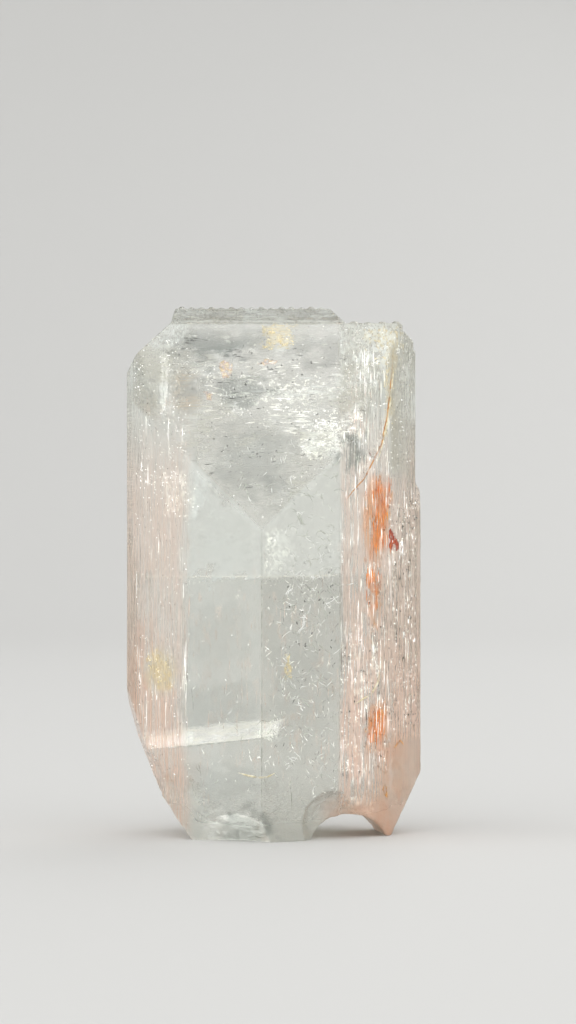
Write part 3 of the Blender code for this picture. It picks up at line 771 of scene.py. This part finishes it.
def buildFilms(skin):
    for name, (look, rows) in (patches | cracks).items():
        bm = bmesh.new()
        bm.verts.layers.float.new("fade")
        for seed, row in enumerate(rows):
            if name in cracks:
                addCrack(bm, skin, *row, seed)
            else:
                addPatch(bm, skin, *row, seed * 3.7)
        bmesh.ops.recalc_face_normals(bm, faces=bm.faces)
        mesh = bpy.data.meshes.new(name)
        bm.to_mesh(mesh)
        bm.free()
        mesh.shade_smooth()
        mesh.materials.append(filmMaterial(look))
        piece = addObject(name, mesh)
        wall = piece.modifiers.new("thickness", "SOLIDIFY")
        wall.thickness = patchLook["thickness"] * mm
        wall.offset = 0
        finishPiece(piece)


# fine raised and inner lines

lineLooks = {
    # colour, second colour, roughness, glow
    "whiteLine": ("#fbfcf8", "#c9cdc2", 0.22, 0.08),
    "edgeLine": ("#b9beb4", "#f4f5ee", 0.3, 0.06),
    "ironLine": ("#dca766", "#bd7c42", 0.4, 0.12),
    "clayLine": ("#f1ebd4", "#d6cba9", 0.35, 0.2),
}
lineShape = {
    "sides": 6,
    "taper": 0.8,            # how much thinner a line is at its ends
    "step": 0.15,            # millimetres between its points
}
curlLook = {
    "radius": 0.03,
    "step": 0.11,
    "bend": 0.28,            # turn at each step, and how far it strays
    "stray": 0.45,
    "belts": [
        # x range, z range, how many, length range, how strongly they curl
        ((1.2, 4.5), (15.8, 19.3), 46, (0.8, 2.4), 0.8),
        ((0.6, 4.5), (11, 16.5), 40, (0.5, 1.6), 0.7),
        ((0.3, 4.5), (3, 11), 60, (0.3, 1.2), 0.5),
        ((0.8, 4.5), (19.6, 24.5), 46, (0.5, 1.8), 0.9),
        ((-4.5, 3.8), (25.5, 31), 40, (0.3, 1), 0.6),
        ((1, 5.4), (24.5, 29), 30, (0.4, 1.3), 0.9),
        ((-5.5, -1.2), (3, 9), 8, (0.3, 0.8), 0.5),
    ],
}
lines = {
    # piece: line look, half width, depth under the surface, paths
    "iron_thread": ("ironLine", 0.07, 0.02, [
        [(5.37, 25.2), (5.9, 25.9), (6.73, 26.8), (7.4, 28.1), (8.1, 29.5), (8.47, 31.3), (8.7, 33.2),
            (9, 36.2)],
        [(9, 6.5), (9.25, 6.8), (9.5, 7.1), (9.65, 6.95), (9.8, 6.75)],
        [(8.33, 4), (8.18, 3.5), (8.28, 3.2), (8.48, 2.9), (8.46, 3.5), (8.35, 4)],
    ]),
    "clay_lines": ("clayLine", 0.085, 0, [
        [(8.1, 13.5), (8, 12.6), (7.8, 11.6), (7.3, 10.7), (6.7, 10.4), (6, 10)],
        [(-2.6, 5.1), (-1.8, 4.9), (-1.05, 4.8), (-0.45, 4.85), (0.1, 5.1)],
        [(8.9, 36.6), (9, 35), (8.8, 33), (8.5, 31), (8.1, 29.2), (7.8, 28.2)],
    ]),
    "edge_lines": ("edgeLine", 0.03, 0.03, [
        [(-0.87, 22.9), (-0.87, 13.4)], [(-0.86, 13), (-0.87, 3.2)], [(4.9, 24), (4.9, 15.6)],
        [(4.92, 15.2), (4.9, 5.4)],
    ]),
    "dome_lines": ("whiteLine", 0.05, 0.02, [
        [(-2.08, 26.14), (-1.81, 25.3), (-1.4, 24.6), (-1.26, 24)],
        [(-2.3, 26.3), (-1.5, 26.4), (-0.6, 26.2), (0.2, 26.5)],
        [(-0.3, 28.8), (0.8, 28.75), (2.04, 28.6)],
        [(1.3, 24.4), (1.9, 24.3), (2.1, 23.6), (1.6, 22.9)], [(4.4, 25.9), (4.9, 26.1), (5.3, 25.8)],
        [(-6.9, 35.4), (-6.5, 35.7), (-6.2, 35.3)], [(-3.4, 34.2), (-1.6, 34.5), (0.6, 34.3)],
    ]),
    "crack_rim": ("whiteLine", 0.035, 0.03, [
        [(-9.3, 6.52), (-7.8, 6.75), (-6.35, 6.95), (-3, 7.4), (-0.87, 7.7), (0.35, 7.9)],
        [(0.35, 7.9), (0.55, 8.6), (0.2, 9.2), (-0.4, 8.9), (-0.9, 9), (-1.3, 8.6)],
        [(-0.5, 7.9), (-0.2, 8.3), (0.2, 8.1)],
    ]),
    "upright_lines": ("whiteLine", 0.035, 0.1, [
        [(1.2, 4.5), (1.3, 3.4), (1.35, 1.9)], [(-0.9, 4.1), (-0.85, 2.5)],
        [(-5.6, 5.8), (-5.4, 5), (-5.35, 4.1)], [(4.95, 23.6), (5, 20.2)], [(4.98, 19.2), (4.95, 15.4)],
        [(5.02, 14.6), (5, 10.6)], [(-8.2, 36.3), (-8.3, 32)], [(2.9, 15), (3.4, 14.4), (4.2, 13.8)],
        [(-6.1, 11.2), (-5.9, 9.6)],
        [(9.26, 8.6), (9.13, 7.7), (9.4, 7.25), (9, 6.5), (8.63, 5.7), (8.32, 4.85), (8.13, 3.6)],
    ]),
}


def lineTree():
    tree, given = nodesTree("fineLines", ["lineRadius"])
    curve = Wire.node(tree, "GeometryNodeMeshToCurve", None, {0: given["Geometry"]})
    profile = {0: lineShape["sides"], 4: given["lineRadius"]}
    profile = Wire.node(tree, "GeometryNodeCurvePrimitiveCircle", None, profile)
    along = Wire.node(tree, "GeometryNodeSplineParameter")
    fromMiddle = (along * 2.0 - 1.0).size()
    taper = 1.0 - fromMiddle * fromMiddle * fromMiddle * lineShape["taper"]
    tube = {0: curve, 1: profile, 2: taper, 3: True}
    tube = Wire.node(tree, "GeometryNodeCurveToMesh", None, tube)
    smooth = Wire.node(tree, "GeometryNodeSetShadeSmooth", None, {0: tube})
    closeGeometryTree(tree, smooth, given["Material"])
    return tree


def lineMaterial(name):
    first, second, rough, glow = lineLooks[name]
    material, tree = newMaterial(name)
    spot, x, y, z = placeIn(tree)
    change = spot.noise((2.0, 2.0, 2.0), 2.0).rise(0.4, 0.6)
    colour = change.blend(linearColour(first), linearColour(second))
    cover = spot.noise((1.1, 1.1, 1.1), 1.0).rise(0.34, 0.6) * 0.8 + 0.15
    closeMaterial(tree, glowing(tree, colour, rough, cover, glow))
    return material


def buildLines(name, paths, radius, look, tree):
    mesh = bpy.data.meshes.new(name)
    points = [point for path in paths for point in path]
    joins = []
    first = 0
    for path in paths:
        joins += [(first + i, first + i + 1) for i in range(len(path) - 1)]
        first += len(path)
    mesh.from_pydata(points, joins, [])
    piece = addObject(name, mesh)
    addNodesModifier(piece, tree, {"lineRadius": radius * mm, "Material": lineMaterial(look)})
    finishPiece(piece)


def layPath(skin, path, depth, step):
    # points every step along the path, each a set depth behind the front surface
    laid = []
    for (ax, az), (bx, bz) in zip(path, path[1:]):
        count = max(1, round(math.hypot(bx - ax, bz - az) / step))
        for i in range(count + (path[-1] == (bx, bz))):
            x = ax + (bx - ax) * i / count
            z = az + (bz - az) * i / count
            front = skin.front(x, z)
            if front is not None:
                laid.append(Vector((x, front + depth, z)) * mm)
    return laid


def curlPaths(skin):
    look = curlLook
    rng = random.Random(sceneSeed)
    paths = []
    for (x0, x1), (z0, z1), count, (short, long), curl in look["belts"]:
        for _ in range(count):
            x = rng.uniform(x0, x1)
            z = rng.uniform(z0, z1)
            heading = rng.uniform(0, 2 * math.pi)
            bend = rng.choice((-1, 1)) * rng.uniform(0.2, 1.0) * curl
            path = []
            for _ in range(int(rng.uniform(short, long) / look["step"])):
                path.append((x, z))
                heading += bend * look["bend"] + rng.uniform(-look["stray"], look["stray"])
                x += math.cos(heading) * look["step"]
                z += math.sin(heading) * look["step"]
            laid = layPath(skin, path, 0.0, look["step"]) if len(path) > 3 else []
            if len(laid) > 3:
                paths.append(laid)
    return paths


def buildAllLines(skin):
    tree = lineTree()
    buildLines("etched_curls", curlPaths(skin), curlLook["radius"], "whiteLine", tree)
    for name, (look, radius, depth, paths) in lines.items():
        laid = [layPath(skin, path, depth, lineShape["step"]) for path in paths]
        buildLines(name, laid, radius, look, tree)


# flakes and needles in the stone

flakeLooks = {
    # two colours, cover, roughness, glow
    "whiteFlake": ("#ffffff", "#f1f2ea", 0.9, 0.25, 0.6),
    "creamFlake": ("#f4edd4", "#e6dab4", 0.9, 0.35, 0.28),
    "pinkNeedle": ("#fbefe8", "#e6cfc3", 0.6, 0.3, 0.32),
    "greyFlake": ("#6a6d66", "#4a4c46", 0.75, 0.4, 0.0),
    "rustFlake": ("#cf6229", "#93402a", 0.9, 0.45, 0.12),
    "ironNeedle": ("#f09c48", "#d8783a", 0.95, 0.4, 0.2),
}
flakes = {
    # piece: look, half sizes, tilt, then regions: x, z and depth ranges, how many, side if not front
    "white_flakes": ("whiteFlake", (0.085, 0.03, 0.06), 3.1, [
        ((-8.2, -5.6), (24, 27.4), (0.02, 0.7), 360), ((-0.7, 1.5), (19.8, 23.2), (0.1, 1), 110),
        ((2, 6.3), (28.2, 31.3), (0.1, 1.4), 420), ((-4, 6.5), (31.4, 34.6), (0.1, 1.6), 360),
        ((-8.8, -4.5), (33.4, 36.2), (0.1, 1), 120), ((6, 9.8), (35.2, 38.2), (0.1, 1), 200),
        ((-9.6, -7.4), (10.6, 14), (0.1, 1), 110), ((-8.5, 7.5), (6, 36), (0.3, 4), 160, "both"),
        ((8.6, 10.8), (7.4, 26), (0.02, 0.3), 400), ((4.9, 6.6), (5, 16), (0.02, 0.3), 300),
        ((6.6, 8.8), (5, 22), (0.02, 0.3), 170),
    ]),
    "level_flakes": ("whiteFlake", (0.34, 0.05, 0.035), 0.22, [
        ((-5, 7), (30.5, 35.6), (0.1, 1.6), 150), ((1, 7), (29, 31.5), (0.1, 1.6), 60),
        ((-6.5, 7), (22, 37.5), (0.2, 2.5), 120, "back"),
    ]),
    "upright_needles": ("pinkNeedle", (0.03, 0.03, 0.62), 0.07, [
        ((-10.6, -6.2), (7, 33), (0.05, 1.6), 420), ((4.9, 8.6), (4, 27), (0.02, 0.8), 620),
        ((8.4, 10.9), (8, 27), (0.05, 1), 140), ((5.6, 8.4), (27, 34.5), (0.05, 0.8), 130),
        ((-9.5, 9), (5, 18.5), (0.1, 1.6), 420, "back"), ((-6, 4.6), (3, 22), (0.3, 4), 80),
    ]),
    "etched_dashes": ("whiteFlake", (0.025, 0.02, 0.2), 1.1, [
        ((-0.6, 4.7), (3.5, 22), (0.02, 0.12), 210), ((-6, -1.2), (3.5, 14), (0.02, 0.12), 30),
    ]),
    "white_wires": ("whiteFlake", (0.035, 0.03, 0.75), 0.03, [
        ((4.9, 8.7), (4, 30), (0.01, 0.12), 190), ((6, 8.7), (27, 36.4), (0.01, 0.12), 70),
        ((8.5, 10.6), (8.2, 26), (0.01, 0.1), 50), ((-10.4, -6.4), (8, 31), (0.01, 0.12), 80),
    ]),
    "grey_needles": ("greyFlake", (0.022, 0.02, 0.5), 0.03, [
        ((4.9, 8.7), (4, 30), (0.01, 0.2), 150), ((8.5, 10.6), (8, 26), (0.01, 0.2), 50),
        ((-10.4, -6.4), (8, 31), (0.01, 0.2), 110), ((-10, -5), (5, 30), (0.01, 0.2), 60, "back"),
        ((5, 10), (5, 30), (0.01, 0.2), 60, "back"),
    ]),
    "grey_dashes": ("greyFlake", (0.02, 0.02, 0.16), 1.1, [
        ((-0.4, 4.7), (3.5, 22), (0.02, 0.12), 150), ((5, 8.6), (4, 22), (0.02, 0.2), 130),
        ((-5.5, 5), (25, 37.5), (0.02, 0.3), 70),
    ]),
    "cream_flakes": ("creamFlake", (0.09, 0.04, 0.08), 3.1, [
        ((-0.9, 1.5), (36.6, 38.4), (0, 0.5), 170), ((0.7, 1.4), (11.8, 14), (0, 0.15), 26),
        ((6.8, 9.8), (35.4, 38.2), (0.1, 0.7), 110), ((8.2, 9.2), (30, 36.6), (0.05, 0.5), 120),
        ((-9.4, -7.8), (11.4, 13.8), (0, 0.3), 110),
    ]),
    # grey flat dashes in the stone; those at x -4 to -1.9 high on the dome are a painted reflection, a
    # dark streak reflected in the stone
    "grey_level_dashes": ("greyFlake", (0.3, 0.04, 0.03), 0.16, [
        ((-6.6, -5.8), (37.1, 37.35), (0.02, 0.2), 5), ((-4, -1.9), (36, 36.6), (0.05, 0.4), 16),
        ((-7.6, -5), (34.8, 37.6), (0.02, 0.3), 16), ((-5, 7.5), (26, 37.6), (0.05, 0.8), 60),
    ]),
    "white_chips": ("whiteFlake", (0.055, 0.02, 0.24), 0.35, [
        ((8.8, 10.7), (9, 23.5), (0.02, 0.12), 60), ((5.2, 8.6), (5, 16), (0.02, 0.12), 50),
    ]),
    "etched_grains": ("whiteFlake", (0.05, 0.03, 0.07), 3.1, [
        ((-10.6, -6.2), (26, 37.4), (0, 0.1), 320), ((-10.6, -6.2), (4, 26), (0, 0.1), 260),
        ((4.9, 10.4), (27, 38.4), (0, 0.15), 380), ((-6, 8.5), (24.5, 38.4), (0, 0.4), 260),
    ]),
    "grey_grains": ("greyFlake", (0.035, 0.02, 0.06), 3.1, [
        ((-1, 1.6), (36.4, 38.5), (0, 0.15), 40), ((-10.6, -6.2), (4, 37.4), (0, 0.1), 320),
        ((4.9, 10.4), (27, 38.4), (0, 0.1), 140), ((-6, 8.5), (24.5, 38.4), (0, 0.3), 160),
    ]),
    "grey_flakes": ("greyFlake", (0.07, 0.03, 0.1), 0.8, [
        ((8.6, 10.8), (7.4, 26), (0.02, 0.2), 215), ((5, 8.6), (4.5, 16), (0.02, 0.3), 150),
        ((-7.4, 4), (28, 36.8), (0.2, 1.6), 70), ((7, 8.4), (12.6, 16.4), (0.05, 0.4), 24),
        ((1, 4.4), (14, 21), (0.05, 0.4), 34),
    ]),
    "iron_needles": ("ironNeedle", (0.035, 0.02, 0.42), 0.04, [
        ((7.4, 8.85), (21.4, 26.8), (0, 0.06), 120), ((6.9, 8.1), (17.2, 19.9), (0, 0.06), 34),
        ((7.1, 8.3), (7, 9.5), (0, 0.06), 44),
    ]),
    "rust_flakes": ("rustFlake", (0.055, 0.03, 0.1), 0.6, [
        ((7.2, 8.9), (21.4, 27), (0.05, 0.5), 110), ((6.9, 8.3), (7.1, 9.5), (0.05, 0.4), 90),
        ((6.8, 8.1), (17.4, 19.8), (0.05, 0.4), 36), ((5.4, 8.4), (25.4, 29.5), (0.05, 0.4), 30),
        ((8, 9.6), (1.2, 4.2), (0.05, 0.4), 10),
    ]),
}


flakeShape = {
    "smallest": (0.5, 0.5, 0.35),   # random scale of each flake, from and to
    "largest": (1.3, 1.2, 1.6),
    "tries": 12,             # places tried for each flake that is wanted
    "shallow": 1.6,          # how strongly flakes keep to the least depth
    "clumps": (0.9, 0.7),    # how fine the clumps are, along x and z
    "clumping": (-0.5, 0.35),
    "leastWall": 0.8,        # no flakes where the crystal is thinner than this
    "deepest": 0.45,         # share of the wall
}


def flakeTree():
    names = ["flakeWidth", "flakeDeep", "flakeTall", "tilt", "seed"]
    tree, given = nodesTree("scatteredFlakes", names)
    ball = Wire.node(tree, "GeometryNodeMeshIcoSphere", None, {0: 1.0, 1: 1})
    sizes = {0: given["flakeWidth"], 1: given["flakeDeep"], 2: given["flakeTall"]}
    sizes = Wire.node(tree, "ShaderNodeCombineXYZ", None, sizes)
    flake = Wire.node(tree, "GeometryNodeTransform", None, {0: ball, 3: sizes})
    turn = {0: (-1.0, -1.0, -1.0), 1: (1.0, 1.0, 1.0), 8: given["seed"]}
    turn = Wire.node(tree, "FunctionNodeRandomValue", {"data_type": "FLOAT_VECTOR"}, turn)
    scale = {0: flakeShape["smallest"], 1: flakeShape["largest"], 8: given["seed"] + 1}
    scale = Wire.node(tree, "FunctionNodeRandomValue", {"data_type": "FLOAT_VECTOR"}, scale)
    placed = {0: given["Geometry"], 2: flake, 5: turn.scaled(given["tilt"]), 6: scale}
    placed = Wire.node(tree, "GeometryNodeInstanceOnPoints", None, placed)
    closeGeometryTree(tree, placed, given["Material"])
    return tree


def flakeMaterial(name):
    first, second, cover, rough, glow = flakeLooks[name]
    material, tree = newMaterial(name)
    spot, x, y, z = placeIn(tree)
    change = spot.noise((1.3, 1.3, 1.3), 2.0, 0.7).rise(0.36, 0.62)
    colour = change.blend(linearColour(first), linearColour(second))
    thin = spot.noise((0.6, 0.6, 0.6), 1.0).rise(0.32, 0.6) * (cover * 0.6) + cover * 0.4
    closeMaterial(tree, glowing(tree, colour, rough, thin, glow))
    return material


def flakePoints(skin, rng, regions):
    look = flakeShape
    points = []
    for (x0, x1), (z0, z1), (near, far), count, *other in regions:
        shift = rng.uniform(0, 50)
        wanted = len(points) + count
        for _ in range(count * look["tries"]):
            if len(points) >= wanted:
                break
            x = rng.uniform(x0, x1)
            z = rng.uniform(z0, z1)
            depth = near + (far - near) * rng.random() ** look["shallow"]
            clump = noise.noise(Vector((x * look["clumps"][0], z * look["clumps"][1], shift)))
            if clump < rng.uniform(*look["clumping"]):
                continue
            front = skin.front(x, z)
            back = skin.back(x, z)
            if front is None or back - front < 2 * near + look["leastWall"]:
                continue
            depth = min(depth, (back - front) * look["deepest"])
            if not other or (other[0] == "both" and rng.random() < 0.5):
                y = front + depth
            else:
                y = back - depth
            points.append(Vector((x, y, z)) * mm)
    return points


def buildFlakes(skin):
    tree = flakeTree()
    for seed, (name, (look, sizes, tilt, regions)) in enumerate(flakes.items()):
        rng = random.Random(sceneSeed + seed)
        mesh = bpy.data.meshes.new(name)
        mesh.from_pydata(flakePoints(skin, rng, regions), [], [])
        piece = addObject(name, mesh)
        values = dict(zip(("flakeWidth", "flakeDeep", "flakeTall"), (size * mm for size in sizes)))
        values |= {"tilt": tilt, "seed": seed, "Material": flakeMaterial(look)}
        addNodesModifier(piece, tree, values)
        finishPiece(piece)


# stage, lights and camera

stageLook = {
    "floorRadius": 0.45,
    "sweepRadius": 0.3,
    "sweepSteps": 16,
    "turnSteps": 96,
    "floorColour": (0.66, 0.66, 0.65, 1),
    "sky": (1.0, 0.99, 0.96, 1),
    "skyStrength": 0.38,
}
lampAim = Vector((0, 0, 0.02))
lampLook = {
    # place, size, power
    "key": ((-0.38, -0.38, 0.46), 1.10, 4.3),
    "fill": ((0.50, -0.34, 0.26), 0.90, 2.2),
    "rim": ((0.22, 0.46, 0.40), 0.50, 1.0),
    "top": ((0.0, 0.02, 0.62), 0.80, 0.9),
}
cameraLook = {
    "aim": (1.06 * mm, 0.0, 24.34 * mm),
    "distance": 0.300,
    "lens": 139.5,
}


def buildStage():
    # a round floor that curves up into a wall all the way round
    look = stageLook
    profile = [(0.0, 0.0), (look["floorRadius"], 0.0)]
    for i in range(1, look["sweepSteps"] + 1):
        turn = math.pi / 2 * i / look["sweepSteps"]
        out = look["floorRadius"] + look["sweepRadius"] * math.sin(turn)
        profile.append((out, look["sweepRadius"] * (1 - math.cos(turn))))
    bm = bmesh.new()
    points = [bm.verts.new((r, 0, z)) for r, z in profile]
    edges = [bm.edges.new(pair) for pair in zip(points, points[1:])]
    spin = {"cent": (0, 0, 0), "axis": (0, 0, 1), "angle": 2 * math.pi, "steps": look["turnSteps"]}
    bmesh.ops.spin(bm, geom=points + edges, **spin)
    bmesh.ops.remove_doubles(bm, verts=bm.verts, dist=1e-5)
    bmesh.ops.recalc_face_normals(bm, faces=bm.faces)
    mesh = bpy.data.meshes.new("floor")
    bm.to_mesh(mesh)
    bm.free()
    mesh.shade_smooth()
    material, tree = newMaterial("pale floor")
    closeMaterial(tree, shader(tree, {"Base Color": look["floorColour"], "Roughness": 0.75}))
    mesh.materials.append(material)
    addObject("floor", mesh)


def buildLights():
    for name, (place, size, power) in lampLook.items():
        lamp = bpy.data.lights.new(name, "AREA")
        lamp.size = size
        lamp.energy = power
        holder = addObject(name, lamp)
        holder.location = place
        holder.rotation_euler = (lampAim - Vector(place)).to_track_quat("-Z", "Y").to_euler()
    world = bpy.data.worlds.new("studio")
    world.use_nodes = True
    background = world.node_tree.nodes["Background"]
    background.inputs["Color"].default_value = stageLook["sky"]
    background.inputs["Strength"].default_value = stageLook["skyStrength"]
    bpy.context.scene.world = world


def buildCamera():
    look = cameraLook
    camera = addObject("camera", bpy.data.cameras.new("camera"))
    camera.data.lens = look["lens"]
    camera.data.clip_start = 0.01
    aim = Vector(look["aim"])
    camera.location = aim + Vector((0, -look["distance"], 0))
    camera.rotation_euler = (math.pi / 2, 0, 0)
    bpy.context.scene.camera = camera


lightPaths = {
    # Cycles' own settings
    "max_bounces": 14, "transmission_bounces": 12, "glossy_bounces": 8, "diffuse_bounces": 4,
    "transparent_max_bounces": 20, "sample_clamp_indirect": 8.0, "blur_glossy": 0.3,
    "caustics_refractive": True, "caustics_reflective": True, "use_denoising": True,
}


def setLightPaths():
    scene = bpy.context.scene
    scene.view_settings.view_transform = "Standard"
    for name, value in lightPaths.items():
        setattr(scene.cycles, name, value)


buildCamera()
print("camera placed")
buildStage()
buildLights()
print("stage and lights placed")
skin = Skin(buildCrystal())
buildFilms(skin)
buildAllLines(skin)
buildFlakes(skin)
print("stains, cracks, lines and flakes placed")
setLightPaths()
